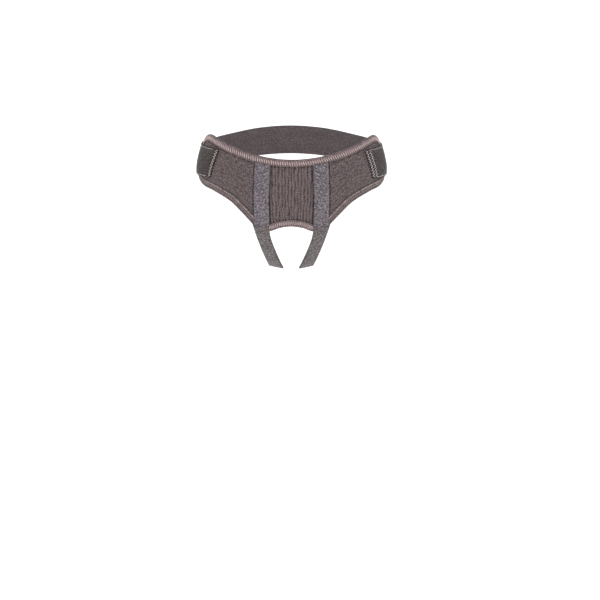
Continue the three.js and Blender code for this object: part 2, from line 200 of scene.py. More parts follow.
def read_table(table, column, place):
    """Values of a table's column between its rows, on a smooth curve through them."""
    keys = table[:, 0]
    values = table[:, column]
    below = np.maximum(np.arange(len(keys)) - 1, 0)
    above = np.minimum(np.arange(len(keys)) + 1, len(keys) - 1)
    slopes = (values[above] - values[below]) / (keys[above] - keys[below])
    row = np.clip(np.searchsorted(keys, place) - 1, 0, len(keys) - 2)
    step = keys[row + 1] - keys[row]
    t = np.clip((place - keys[row]) / step, 0, 1)
    start, end = values[row], values[row + 1]
    leave, arrive = slopes[row] * step, slopes[row + 1] * step
    return start + t * (leave + t * (3 * (end - start) - 2 * leave - arrive
                                     + t * (2 * (start - end) + leave + arrive)))


def mix(start, end, share):
    return start + (end - start) * share


def ease(share):
    t = np.clip(share, 0, 1)
    return t * t * (3 - 2 * t)


def hip_point(turn, height):
    """Points of the hips at turns from the front, in degrees, and heights."""
    angle = np.radians(turn)
    level = height / HIP_LEVEL
    half = HIP_HALF_BREADTH * read_table(HIP_SECTIONS, 1, level)
    front = HIP_FRONT_DEPTH * read_table(HIP_SECTIONS, 2, level)
    back = HIP_BACK_DEPTH * read_table(HIP_SECTIONS, 3, level)
    depth = np.where(np.cos(angle) > 0, front, back)
    across = np.abs(np.sin(angle) / half) ** HIP_ROUNDNESS
    along = np.abs(np.cos(angle) / depth) ** HIP_ROUNDNESS
    radius = (across + along) ** (-1 / HIP_ROUNDNESS)
    return np.stack([radius * np.sin(angle), -radius * np.cos(angle), height + 0 * radius], -1)


def unit(vectors):
    return vectors / np.linalg.norm(vectors, axis=-1, keepdims=True)


def hip_slopes(turn, height):
    """How the hips' points move with each degree of turn and each metre of height."""
    by_turn = hip_point(turn + FINE_TURN, height) - hip_point(turn - FINE_TURN, height)
    by_height = hip_point(turn, height + FINE_LENGTH) - hip_point(turn, height - FINE_LENGTH)
    return by_turn / (2 * FINE_TURN), by_height / (2 * FINE_LENGTH)


def over_hips(turn, height, lift):
    """Points that lie a layer's height over the hips."""
    by_turn, by_height = hip_slopes(turn, height)
    return hip_point(turn, height) + unit(np.cross(by_turn, by_height)) * lift[..., None]


def top_edge(turn):
    return TOP_RISE * read_table(TOP_EDGE, 1, np.abs(turn))


def lower_edge(turn):
    return -PANEL_DROP * read_table(LOWER_EDGE, 1, np.abs(turn))


def turn_of(length, turn, height):
    """Degrees of turn for a length along the hips."""
    return length / np.linalg.norm(hip_slopes(turn, height)[0], axis=-1)


def strap_turn(height):
    """Turn at which a strap's middle crosses a height of the front."""
    drop = np.clip(-height / PANEL_DROP, 0, 1)
    across = STRAP_SPREAD * read_table(STRAP_LINE, 1, drop)
    turn = CENTRE_TURN + 0 * height
    for trial in range(STRAP_PASSES):
        turn = turn + turn_of(across - hip_point(turn, height)[..., 0], turn, height)
    return turn


def inside_edges(turn, height):
    """Distances from places on the front to the nearest point of its top or lower edge."""
    places = hip_point(turn, height)
    nearest = np.full(places.shape[:-1], np.inf)
    for beside in np.arange(-90, 90.5, 0.75):
        for edge in (top_edge, lower_edge):
            corner = hip_point(beside, edge(beside))
            nearest = np.minimum(nearest, np.linalg.norm(places - corner, axis=-1))
    return nearest


def ripple(seed, first, second, length):
    """Smooth uneven values between -1 and 1 over two lengths, about a length from hill to hill."""
    draw = random.Random(seed)
    total = 0
    for wave in range(7):
        heading = draw.uniform(0, math.pi)
        pace = 2 * math.pi / length * draw.uniform(0.6, 1.5)
        start = draw.uniform(0, 2 * math.pi)
        total = total + np.sin(pace * (math.cos(heading) * first + math.sin(heading) * second) + start)
    return np.clip(total / 4, -1, 1)


def add_cloth(name, outer, inner, painted_relief_shade, pale=None):
    """Closed piece of cloth from a flat grid that is moved onto its outer and inner face. Its
    UV map has real lengths. Its attribute of painted shade is 0 where shade is painted in its
    grooves and 1 on its lit ridges, and its pale attribute is 1 where the cloth has its pale colour."""
    columns, rows = outer.shape[:2]
    bm = bmesh.new()
    bmesh.ops.create_grid(bm, x_segments=columns - 1, y_segments=rows - 1, size=0.5)
    bmesh.ops.solidify(bm, geom=bm.faces[:], thickness=1)
    flat = np.array([vert.co[:] for vert in bm.verts])
    column = np.rint((flat[:, 0] + 0.5) * (columns - 1)).astype(int)
    row = np.rint((flat[:, 1] + 0.5) * (rows - 1)).astype(int)
    is_outer = flat[:, 2] > -0.5
    places = np.where(is_outer[:, None], outer[column, row], inner[column, row])
    for vert, place in zip(bm.verts, places):
        vert.co = place
    for face in bm.faces:
        face.smooth = True
    if bm.calc_volume(signed=True) < 0:
        bmesh.ops.reverse_faces(bm, faces=bm.faces[:])
    mesh = bpy.data.meshes.new(name)
    bm.to_mesh(mesh)
    bm.free()
    lengths = np.zeros((columns, rows, 2))
    lengths[1:, :, 0] = np.cumsum(np.linalg.norm(np.diff(outer, axis=0), axis=-1), axis=0)
    lengths[:, 1:, 1] = np.cumsum(np.linalg.norm(np.diff(outer, axis=1), axis=-1), axis=1)
    corners = np.zeros(len(mesh.loops), int)
    mesh.loops.foreach_get("vertex_index", corners)
    mesh.uv_layers.new(name="cloth").data.foreach_set("uv", lengths[column, row][corners].ravel())
    mesh.attributes.new("painted_relief_shade", "FLOAT", "POINT").data.foreach_set("value", painted_relief_shade[column, row])
    if pale is not None:
        mesh.attributes.new("pale", "FLOAT", "POINT").data.foreach_set("value", pale[column, row])
    return add_object(name, mesh)


def new_group(name, inputs, outputs):
    """Node group with its sockets, and the nodes that carry them in and out."""
    tree = bpy.data.node_groups.new(name, "ShaderNodeTree")
    for socket, kind, value in inputs:
        item = tree.interface.new_socket(socket, in_out="INPUT", socket_type=kind)
        if value is not None:
            item.default_value = value
    for socket in outputs:
        tree.interface.new_socket(socket, in_out="OUTPUT", socket_type="NodeSocketFloat")
    return tree, tree.nodes.new("NodeGroupInput"), tree.nodes.new("NodeGroupOutput")


def maths(tree, operation, first, second=0.0, third=0.0):
    """Result of a math node whose inputs are values or sockets."""
    node = add_node(tree, "ShaderNodeMath", operation=operation)
    for number, value in enumerate((first, second, third)):
        if isinstance(value, bpy.types.NodeSocket):
            tree.links.new(value, node.inputs[number])
        else:
            node.inputs[number].default_value = value
    return node.outputs[0]


# Yarn: flecks of a melange yarn, the slow mottling of a dyed cloth, and its fuzz
yarn_group, into, out = new_group(
    "Yarn", [("Vector", "NodeSocketVector", None), ("Fleck Size", "NodeSocketFloat", 0.001)],
    ["Light Fleck", "Dark Fleck", "Clump", "Mottle", "Fuzz"])
scale = maths(yarn_group, "DIVIDE", 1.0, into.outputs["Fleck Size"])
light_noise = add_node(yarn_group, "ShaderNodeTexNoise", {
    "Vector": into.outputs["Vector"], "Scale": scale, "Detail": 2.0, "Roughness": 0.6})
shifted = add_node(yarn_group, "ShaderNodeVectorMath", {0: into.outputs["Vector"], 1: (3.7, 1.9, 0.4)})
dark_noise = add_node(yarn_group, "ShaderNodeTexNoise", {
    "Vector": shifted.outputs[0], "Scale": scale, "Detail": 2.0, "Roughness": 0.6})
clump = add_node(yarn_group, "ShaderNodeTexNoise", {
    "Vector": into.outputs["Vector"], "Scale": maths(yarn_group, "MULTIPLY", scale, 0.62), "Detail": 1.0,
    "Distortion": 0.6})
slow = add_node(yarn_group, "ShaderNodeTexNoise", {
    "Vector": into.outputs["Vector"], "Scale": maths(yarn_group, "MULTIPLY", scale, 0.12), "Detail": 3.0})
fuzz = add_node(yarn_group, "ShaderNodeTexNoise", {
    "Vector": into.outputs["Vector"], "Scale": maths(yarn_group, "MULTIPLY", scale, 2.5), "Detail": 2.0})
for socket, source, low, high in (
        ("Light Fleck", light_noise, 0.51, 0.63), ("Dark Fleck", dark_noise, 0.51, 0.63),
        ("Clump", clump, 0.42, 0.58), ("Mottle", slow, 0.3, 0.7), ("Fuzz", fuzz, 0.25, 0.75)):
    spread = add_node(yarn_group, "ShaderNodeMapRange", {
        "Value": source.outputs["Fac"], "From Min": low, "From Max": high})
    yarn_group.links.new(spread.outputs[0], out.inputs[socket])

# Loops: crossed rows of small round stitches or threads, at a pitch along and across the cloth
loops_group, into, out = new_group(
    "Loops", [("Vector", "NodeSocketVector", None), ("Pitch Across", "NodeSocketFloat", 0.001),
              ("Pitch Along", "NodeSocketFloat", 0.001), ("Stagger", "NodeSocketFloat", 0.5),
              ("Unevenness", "NodeSocketFloat", 0.3)],
    ["Height"])
bent = add_node(loops_group, "ShaderNodeTexNoise", {
    "Vector": into.outputs["Vector"], "Scale": 350.0, "Detail": 1.0})
wander = maths(loops_group, "SUBTRACT", bent.outputs["Fac"], 0.5)
reach = maths(loops_group, "MULTIPLY", into.outputs["Unevenness"], 4.0)
offset = maths(loops_group, "MULTIPLY", wander, reach)
parts = add_node(loops_group, "ShaderNodeSeparateXYZ", {0: into.outputs["Vector"]})
column = maths(loops_group, "DIVIDE", parts.outputs[0], into.outputs["Pitch Across"])
row = maths(loops_group, "DIVIDE", parts.outputs[1], into.outputs["Pitch Along"])
across = maths(loops_group, "ADD", offset, column)
along = maths(loops_group, "ADD", offset, row)
whole_row = maths(loops_group, "FLOOR", along)
staggered = maths(loops_group, "MULTIPLY_ADD", whole_row, into.outputs["Stagger"], across)
hills = []
for place in (staggered, along):
    wave = maths(loops_group, "SINE", maths(loops_group, "MULTIPLY", place, math.pi))
    hills.append(maths(loops_group, "ABSOLUTE", wave))
height = maths(loops_group, "MULTIPLY", hills[0], hills[1])
loops_group.links.new(maths(loops_group, "POWER", height, 0.6), out.inputs["Height"])


def blend_colours(tree, factor, first, second, kind="MIX"):
    node = add_node(
        tree, "ShaderNodeMix", {0: factor, 6: first, 7: second}, data_type="RGBA", blend_type=kind)
    return node.outputs[2]


def cloth_material(name, groove, ground, light_fleck, dark_fleck, pitch, pale=None, stagger=0.5,
                   fleck_size=0.002, slant=0, stretch=1, unevenness=0.3, flecks=0.5, clumps=0.2,
                   depth=0.0003, roughness=0.95):
    """Cloth of melange yarn: colour with painted shade (the groove colour by the attribute of
    painted shade, and darker hollows of its loops), flecks and clumps, and a bump of loops and fuzz.
    The flecks can be stretched at a slant to the cloth. Where the cloth has a pale colour, its
    pale attribute says where."""
    material, shader = new_material(
        name, Roughness=roughness, Sheen_Weight=0.1, Sheen_Roughness=0.5, Specular_IOR_Level=0.2)
    tree = material.node_tree
    place = add_node(tree, "ShaderNodeTexCoord").outputs["UV"]
    yarn = add_node(tree, "ShaderNodeGroup", node_tree=yarn_group)
    slanted = add_node(tree, "ShaderNodeMapping", {
        "Vector": place, "Rotation": (0, 0, math.radians(slant)), "Scale": (stretch, 1, 1),
    }, vector_type="TEXTURE")
    tree.links.new(slanted.outputs[0], yarn.inputs["Vector"])
    yarn.inputs["Fleck Size"].default_value = fleck_size
    loops = add_node(tree, "ShaderNodeGroup", node_tree=loops_group)
    tree.links.new(place, loops.inputs["Vector"])
    loops.inputs["Pitch Across"].default_value = pitch[0]
    loops.inputs["Pitch Along"].default_value = pitch[1]
    loops.inputs["Stagger"].default_value = stagger
    loops.inputs["Unevenness"].default_value = unevenness
    painted_relief_shade = add_node(tree, "ShaderNodeAttribute", attribute_name="painted_relief_shade").outputs["Fac"]
    if pale is not None:
        pale_share = add_node(tree, "ShaderNodeAttribute", attribute_name="pale").outputs["Fac"]
        ground = blend_colours(tree, pale_share, ground, pale)
    # Painted shade: the groove colour is laid on where the attribute of painted shade falls towards 0.
    shade = blend_colours(tree, painted_relief_shade, groove, ground)
    light_share = maths(tree, "MULTIPLY", yarn.outputs["Light Fleck"], flecks)
    shade = blend_colours(tree, light_share, shade, light_fleck)
    dark_share = maths(tree, "MULTIPLY", yarn.outputs["Dark Fleck"], flecks)
    shade = blend_colours(tree, dark_share, shade, dark_fleck)
    # Painted shade: the hollows between the loops are darker. The clumps give the pile an uneven tone, with
    # painted shade between them, and the mottle is the dye's own.
    depth_shade = maths(tree, "MULTIPLY_ADD", loops.outputs["Height"], 0.34, 0.72)
    clump = maths(tree, "MULTIPLY_ADD", yarn.outputs["Clump"], clumps, 1 - clumps / 2)
    mottle = maths(tree, "MULTIPLY_ADD", yarn.outputs["Mottle"], 0.16, 0.94)
    painted_shade_and_mottle = maths(tree, "MULTIPLY", maths(tree, "MULTIPLY", depth_shade, mottle), clump)
    grey = add_node(tree, "ShaderNodeCombineColor", {0: painted_shade_and_mottle, 1: painted_shade_and_mottle, 2: painted_shade_and_mottle})
    shade = blend_colours(tree, 1.0, shade, grey.outputs[0], "MULTIPLY")
    tree.links.new(shade, shader.inputs["Base Color"])
    bumps = maths(tree, "MULTIPLY_ADD", yarn.outputs["Fuzz"], 0.45, loops.outputs["Height"])
    bumps = maths(tree, "MULTIPLY_ADD", yarn.outputs["Clump"], clumps * 3, bumps)
    bump = add_node(tree, "ShaderNodeBump", {"Height": bumps, "Distance": depth, "Strength": 0.9})
    tree.links.new(bump.outputs["Normal"], shader.inputs["Normal"])
    return material


# The ribbed knit's first colour is the painted shade of its grooves.
ribbed_knit = cloth_material(
    "ribbed_knit", colour(30, 22, 23), colour(103, 90, 91), colour(142, 128, 127), colour(58, 48, 50),
    pitch=(0.003, 0.0016), stagger=0, unevenness=0.25, clumps=0.25)

across, up = np.meshgrid(
    np.linspace(0, 1, RIB_COUNT * RIB_COLUMNS + 1), np.linspace(0, 1, RIB_ROWS + 1), indexing="ij")
turn = (CENTRE_TURN - SEAM_TURN) * (2 * across - 1)
height = mix(lower_edge(turn), top_edge(turn), up)
inside = inside_edges(turn, height)
inside_strap = (strap_turn(height) - np.abs(turn)) / turn_of(1, turn, height) - STRAP_WIDTH / 2
wide, tall = PANEL_WIDTH * across, PANEL_HEIGHT * up
waver = 0.26 * ripple(3, wide, 0.5 * tall, 0.02) + 0.11 * ripple(4, 0.6 * wide, tall, 0.008)
crest = np.abs(np.sin(math.pi * (RIB_COUNT * across + waver * np.sin(math.pi * across)))) ** 1.2
stitch = np.sin(2 * math.pi * tall / COURSE_PITCH + 4 * ripple(5, wide, tall, 0.007))
# The groove mask sinks the ribs' grooves, the knit's courses, the channel beside each strap and the grooves
# gathered by the bindings, and paints shade into all of them.
groove = (1 - crest) * (0.8 + 0.35 * ripple(6, wide, 0.5 * tall, 0.01)) + 0.14 * stitch * crest
seam = np.exp(-((inside_strap - SEAM_WIDTH / 2) / SEAM_WIDTH) ** 2)
gather = np.exp(-(np.maximum(inside - BINDING_DEPTH, 0) / GATHER_REACH) ** 2)
gather = gather * (0.25 + 1.2 * (1 - crest))
groove = np.clip(groove + 0.7 * seam + gather, 0, 1.3)
painted_relief_shade = np.clip(1 - groove, 0, 1)
lift = mix(EDGE_THICKNESS, RIB_LEVEL - RIB_DEPTH * groove, ease((inside - BINDING_DEPTH) / BINDING_SLOPE))
inner_lift = 0.12 * RIB_DEPTH * crest
panel = add_cloth(
    "ribbed_panel", over_hips(turn, height, lift), over_hips(turn, height, inner_lift), painted_relief_shade)
panel.data.materials.append(ribbed_knit)
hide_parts("centre_panel")
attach(panel, "root")

# Padded side panels: two layers of brushed loop knit with thin foam between them, from under each
# strap round to the side of the hip. The bindings gather their edges into small puckers.
WING_TURN = 88.5
PAD_THICKNESS = 0.004
PAD_SLOPE = 0.005
PUCKER_PITCH = 0.0085
PUCKER_DEPTH = 0.0007
PUCKER_REACH = 0.007
FREE_REACH = 0.006
FOLD_DEPTH = 0.0008
ROW_PITCH = 0.0052
ROW_DEPTH = 0.0003
SEAM_DEPTH = 0.0008
SIDE_WIDTH = 0.16
SIDE_HEIGHT = 0.1
SIDE_COLUMNS = 200
SIDE_ROWS = 130

padded_knit = cloth_material(
    "padded_knit", colour(32, 24, 25), colour(102, 89, 90), colour(134, 119, 119), colour(53, 43, 46),
    pitch=(0.0018, 0.0016), fleck_size=0.0023, unevenness=0.9, flecks=0.75, clumps=0.45, depth=0.0005)

across, up = np.meshgrid(
    np.linspace(0, 1, SIDE_COLUMNS + 1), np.linspace(0, 1, SIDE_ROWS + 1), indexing="ij")
turn = mix(CENTRE_TURN + SEAM_TURN, WING_TURN, across)
height = mix(lower_edge(turn), top_edge(turn), up)
inside = inside_edges(turn, height)
middle = strap_turn(height)
outside_strap = (turn - middle) / turn_of(1, middle, height) - STRAP_WIDTH / 2
padding = mix(RIB_LEVEL, PAD_THICKNESS, ease(outside_strap / PAD_SLOPE))
free = ease(outside_strap / FREE_REACH)
wide, tall = SIDE_WIDTH * across, SIDE_HEIGHT * up
for side, word in ((1, "left"), (-1, "right")):
    phase = wide / PUCKER_PITCH + 0.7 * ripple(11 + side, wide, tall, 0.03)
    gathered = np.exp(-np.clip(inside - BINDING_DEPTH, 0, 1) / PUCKER_REACH)
    pucker = PUCKER_DEPTH * (0.5 + 0.5 * np.sin(2 * math.pi * phase)) * gathered
    fold = FOLD_DEPTH * (0.5 + 0.5 * ripple(21 + side, wide, inside * 2, 0.03))
    row_wave = 0.5 + 0.5 * np.sin(
        2 * math.pi * inside / ROW_PITCH + 3 * ripple(61 + side, wide, tall, 0.018))
    full = padding - free * (pucker + fold + ROW_DEPTH * row_wave)
    lift = mix(EDGE_THICKNESS, full, ease((inside - BINDING_DEPTH) / PAD_SLOPE))
    # Painted shade: darker where the pad slopes down into its bindings, in the low rows of loops, and in the
    # channel beside the strap.
    painted_relief_shade = np.clip((lift - 0.0015) / 0.0016, 0, 1) * (1.04 - 0.46 * row_wave)
    painted_relief_shade = mix(1, painted_relief_shade, free * ease((inside - BINDING_DEPTH) / 0.001))
    seam = np.exp(-((outside_strap - SEAM_WIDTH / 2) / SEAM_WIDTH) ** 2)
    lift = lift - SEAM_DEPTH * seam * ease((inside - BINDING_DEPTH) / 0.002)
    painted_relief_shade = np.clip(painted_relief_shade - 1.1 * seam, 0, 1)
    mirror = np.array([side, 1, 1])
    outer, inner = over_hips(turn, height, lift) * mirror, hip_point(turn, height) * mirror
    pad = add_cloth(f"side_pad_{word}", outer, inner, painted_relief_shade)
    pad.data.materials.append(padded_knit)
    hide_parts(f"side_panel_{word}")
    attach(pad, "root")

# Bindings: soft elastic tape folded over every edge of the front and sewn down with a zigzag in a
# lighter thread, which gathers the tape between its rows of needle holes.
BINDING_WALL = 0.0009
CLEARANCE = 0.00035
BINDING_SWELL = 0.00025
BINDING_STEP = 0.0008
FOLD_REACH = 0.0008
SEW_ROWS = (0.0028, 0.0092)
SEW_WIDTH = 0.0008
TAPE_ROWS = 30
TAPE_RIM = 0.03


def on_binding(edge, into, turn, lift, depth):
    """Points at a depth from an edge, square to it, and at a lift over the hips."""
    height = edge(turn)
    ahead = hip_point(turn + FINE_TURN, edge(turn + FINE_TURN))
    along = unit(ahead - hip_point(turn - FINE_TURN, edge(turn - FINE_TURN)))
    by_turn, by_height = hip_slopes(turn, height)
    inward = unit(np.cross(along, unit(np.cross(by_turn, by_height))))
    inward = inward * (into * np.sign(inward[..., 2:]))
    rise = inward[..., 2] * depth
    run = inward * depth[..., None] - by_height * rise[..., None]
    there = turn + np.sum(run * by_turn, axis=-1) / np.sum(by_turn ** 2, axis=-1)
    return over_hips(there, height + rise, lift)


def edge_turns(edge, from_turn, to_turn, step):
    """Turns at even steps of length along an edge."""
    fine = np.linspace(from_turn, to_turn, 600)
    pieces = np.linalg.norm(np.diff(hip_point(fine, edge(fine)), axis=0), axis=-1)
    lengths = np.concatenate([[0], np.cumsum(pieces)])
    count = max(int(round(lengths[-1] / step)), 2)
    return np.interp(np.linspace(0, lengths[-1], count + 1), lengths, fine)


def rounded(share, rim):
    """Share of its full thickness that a piece has near its rims."""
    inset = np.clip(np.minimum(share, 1 - share) / rim, 0, 1)
    return 0.2 + 0.8 * np.sqrt(1 - (1 - inset) ** 2)


def shares(count, rim):
    """Even shares from 0 to 1, with closer ones at both ends for rounded rims."""
    close = rim * np.array([0, 0.12, 0.4])
    return np.concatenate([close, np.linspace(rim, 1 - rim, count), 1 - close[::-1]])


def add_threads(name, paths, radius, material):
    """Thread that shows along the given lines of points."""
    curve = bpy.data.curves.new(name, "CURVE")
    curve.dimensions = "3D"
    curve.bevel_depth = radius
    curve.bevel_resolution = 1
    curve.use_fill_caps = True
    for path in paths:
        spline = curve.splines.new("POLY")
        spline.points.add(len(path) - 1)
        for point, place in zip(spline.points, path):
            point.co = (*place, 1)
    curve.materials.append(material)
    threads = add_object(name, curve)
    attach(threads, "root")
    return threads


def thread_material(name, shade):
    """Twisted thread, with painted shade in the twist between its plies."""
    material, shader = new_material(name, Roughness=0.6, Sheen_Weight=0.3)
    tree = material.node_tree
    place = add_node(tree, "ShaderNodeTexCoord").outputs["Object"]
    twist = add_node(tree, "ShaderNodeTexNoise", {"Vector": place, "Scale": 1600.0, "Detail": 1.0})
    painted_twist_shade = blend_colours(tree, twist.outputs["Fac"], tuple(0.6 * x for x in shade[:3]) + (1,), shade)
    tree.links.new(painted_twist_shade, shader.inputs["Base Color"])
    bump = add_node(tree, "ShaderNodeBump", {"Height": twist.outputs["Fac"], "Distance": 0.0001})
    tree.links.new(bump.outputs["Normal"], shader.inputs["Normal"])
    return material


binding_tape = cloth_material(
    "binding_tape", colour(42, 32, 34), colour(130, 112, 113), colour(165, 143, 142), colour(80, 67, 69),
    pitch=(0.0011, 0.0009), fleck_size=0.0022, unevenness=0.25, flecks=0.7, clumps=0.3, roughness=0.85)
leg_tape = cloth_material(
    "leg_tape", colour(36, 27, 29), colour(107, 94, 94), colour(145, 129, 128), colour(60, 49, 51),
    pitch=(0.0011, 0.0009), pale=colour(182, 165, 160), fleck_size=0.0024, unevenness=0.25, flecks=0.7,
    clumps=0.3, roughness=0.85)
light_thread = thread_material("light_thread", colour(218, 197, 194))
leg_thread = thread_material("leg_thread", colour(140, 123, 121))
middle_lift = EDGE_THICKNESS / 2
fold_lift = middle_lift + CLEARANCE + BINDING_WALL / 2
fold_length = math.pi * math.sqrt((fold_lift ** 2 + FOLD_REACH ** 2) / 2)
tape_width = 2 * BINDING_DEPTH + fold_length

# Name, CAD node and what the tape is folded over, then its edge, 1 where the panel lies above it or
# -1 below it, the turns of its ends, the side, the tape, and the thread with its radius and pitch
BINDINGS = (
    ("top_tape", "top_binding", ["ribbed_panel", "side_pad_left", "side_pad_right"],
     top_edge, -1, (-WING_TURN, WING_TURN), 1, binding_tape, (light_thread, 0.0004, 0.0038)),
    ("arch_tape", "arch_binding", ["ribbed_panel"],
     lower_edge, 1, (SEAM_TURN - CENTRE_TURN, CENTRE_TURN - SEAM_TURN), 1,
     binding_tape, (light_thread, 0.00034, 0.003)),
    ("leg_tape_left", "leg_binding_left", ["side_pad_left"],
     lower_edge, 1, (CENTRE_TURN + SEAM_TURN, WING_TURN), 1, leg_tape, (leg_thread, 0.00024, 0.0038)),
    ("leg_tape_right", "leg_binding_right", ["side_pad_right"],
     lower_edge, 1, (CENTRE_TURN + SEAM_TURN, WING_TURN), -1, leg_tape, (leg_thread, 0.00024, 0.0038)),
)
for seed, (name, node, over, edge, into, ends, side, tape, sewing) in enumerate(BINDINGS, 31):
    from_turn, to_turn = ends
    thread, thread_radius, pitch = sewing
    turns = edge_turns(edge, from_turn, to_turn, BINDING_STEP)
    length = BINDING_STEP * (len(turns) - 1)
    turn, around = np.meshgrid(turns, shares(TAPE_ROWS, TAPE_RIM), indexing="ij")
    along = np.linspace(0, length, len(turns))[:, None] + 0 * around
    reach = around * tape_width - BINDING_DEPTH
    bend = np.clip(reach / fold_length, 0, 1) * math.pi
    depth = np.where(reach < 0, -reach, np.where(reach > fold_length, reach - fold_length, 0))
    depth = depth - FOLD_REACH * np.sin(bend)
    outer_side = ease((bend - math.pi / 2) / (math.pi / 2))
    sewn = np.clip(sum(np.exp(-((depth - row) / SEW_WIDTH) ** 2) for row in SEW_ROWS), 0, 1)
    gather = 0.5 + 0.5 * np.cos(2 * math.pi * along / pitch + 1.5 * ripple(seed, along, depth, 0.02))
    swell = BINDING_SWELL * (1 - sewn) * (0.6 + 0.4 * gather) * outer_side
    lift = middle_lift - fold_lift * np.cos(bend)
    half = (BINDING_WALL / 2) * rounded(around, TAPE_RIM)
    square = unit(np.stack([-np.cos(bend) / fold_lift, -np.sin(bend) / FOLD_REACH], -1))
    mirror = np.array([side, 1, 1])
    faces = []
    for face in (1, -1):
        face_lift = lift + face * half * square[..., 0] + swell
        face_depth = depth + face * half * square[..., 1]
        faces.append(on_binding(edge, into, turn, face_lift, face_depth) * mirror)
    # Painted shade: a painted shadow along the fold's rim, and darker in the sunken sewn rows and between the
    # gathers. The pale band on the leg tapes is their own colour.
    rim = ease((depth + 0.0006) / 0.0016)
    painted_relief_shade = np.where(outer_side > 0.5, rim * (1 - 0.75 * sewn) * (0.65 + 0.35 * gather), 0.6)
    pale = np.exp(-((depth - BINDING_DEPTH + 0.0013) / 0.0009) ** 2) * outer_side * (tape == leg_tape)
    painted_relief_shade = np.maximum(painted_relief_shade, pale)
    tape_piece = add_cloth(name, *faces, painted_relief_shade, pale)
    tape_piece.data.materials.append(tape)
    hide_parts(node)
    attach(tape_piece, "root")

    # The zigzag's stitches that show: one at every pitch, slanting across the tape between the two
    # rows of holes, where both of its ends duck in
    stitch_turns = edge_turns(edge, from_turn + 0.6, to_turn - 0.6, pitch)
    share = np.array([0, 0.08, 0.3, 0.7, 0.92, 1])
    sunk = np.array([-0.0005, 0.0001, 0.0004, 0.0004, 0.0001, -0.0005])
    top = middle_lift + fold_lift + BINDING_WALL / 2
    paths = []
    for first, second in zip(stitch_turns, stitch_turns[1:]):
        paths.append(mirror * on_binding(
            edge, into, mix(first, second, 0.45 * share), top + sunk, mix(*SEW_ROWS, share)))
    stitches = add_threads(f"{name}_stitches", paths, thread_radius, thread)

# Straps: soft elastic in a heather yarn with fine cross ribs. Each is sewn down the front over the
# seam of the panels, hangs free below them between the legs, and ends on the back band.
STRAP_THICKNESS = 0.0016
STRAP_LEVEL = 0.0032
STRAP_END_LEVEL = 0.00255
STRAP_END_TURN = 144
STRAP_END_MARGIN = 0.006
CROTCH_DROP = 0.191
BAND_HEIGHT = 0.05
BAND_RISE = 0.022
STRAP_FRONT_ROWS = 6
STRAP_END_ROWS = 4
STRAP_STEPS = 22
STRAP_RIM = 0.03
STRAP_END_RIM = 0.0016
STRAP_SEWN_WIDTH = 0.0009
CROSS_RIB_PITCH = 0.0043
SEAM_HEIGHT = -0.112
ROW_OFFSET = 0.0107
BOX_OFFSET = 0.0105
BOX_FAR = 0.036
BOX_NEAR = 0.004
STITCH_PITCH = 0.0026
DARK_THREAD_RADIUS = 0.0002

# Middle line of the tabs and the back band: degrees from the front, then the share of BAND_RISE
BAND_LINE = np.array([(55, -0.46), (88, -0.18), (104, 0), (125, 0.36), (150, 0.82), (180, 1), (210, 0.82)])

# A strap's way between the legs: across as a share of STRAP_SPREAD, depth of HIP_BACK_DEPTH and
# drop of CROTCH_DROP, then the degrees by which its outer edge turns back and up
STRAP_RUN = [
    (0.86, -0.675, 0.737, 30, 2),
    (0.69, -0.465, 0.88, 32, 8),
    (0.545, -0.21, 0.974, 18, 10),
    (0.52, 0.07, 1, -4, 10),
    (0.635, 0.37, 0.968, -22, 4),
    (0.86, 0.66, 0.858, -32, -8),
    (1.13, 0.86, 0.674, -32, -20),
    (1.34, 0.95, 0.463, -28, -18),
    (1.46, 0.955, 0.253, -23, -8),
]


def band_line(turn):
    return BAND_RISE * read_table(BAND_LINE, 1, turn)


def strap_rows(offset):
    """Points of a strap at an offset from its middle, from the top binding to the back band."""
    rows = []
    rough_top = top_edge(CENTRE_TURN) - BINDING_DEPTH
    rough_turn = strap_turn(rough_top) + turn_of(offset, strap_turn(rough_top), rough_top)
    rise = (top_edge(rough_turn + FINE_TURN) - top_edge(rough_turn - FINE_TURN)) / (2 * FINE_TURN)
    lean = 1 / np.hypot(1, turn_of(rise, rough_turn, top_edge(rough_turn)))
    for share in np.linspace(0, 1, STRAP_FRONT_ROWS + 1):
        start = top_edge(rough_turn) - BINDING_DEPTH / lean - CLEARANCE
        height = mix(start, -PANEL_DROP, share)
        middle = strap_turn(height)
        rows.append(over_hips(middle + turn_of(offset, middle, height), height, np.array(STRAP_LEVEL)))
    centres = [
        np.array((across * STRAP_SPREAD, depth * HIP_BACK_DEPTH, -drop * CROTCH_DROP))
        for across, depth, drop, back, up in STRAP_RUN]
    for number, (across, depth, drop, back, up) in enumerate(STRAP_RUN):
        along = unit(centres[min(number + 1, len(centres) - 1)] - centres[max(number - 1, 0)])
        back, up = math.radians(back), math.radians(up)
        edge = np.array((math.cos(back) * math.cos(up), math.sin(back) * math.cos(up), math.sin(up)))
        edge = unit(edge - along * np.dot(edge, along))
        rows.append(centres[number] + edge * offset)
    level = band_line(STRAP_END_TURN) - STRAP_END_MARGIN
    for share in np.linspace(-0.5, 0.5, STRAP_END_ROWS + 1):
        height = level + BAND_HEIGHT * share
        turn = STRAP_END_TURN - turn_of(offset, STRAP_END_TURN, height)
        rows.append(over_hips(turn, height, np.array(STRAP_END_LEVEL)))
    return np.array(rows)


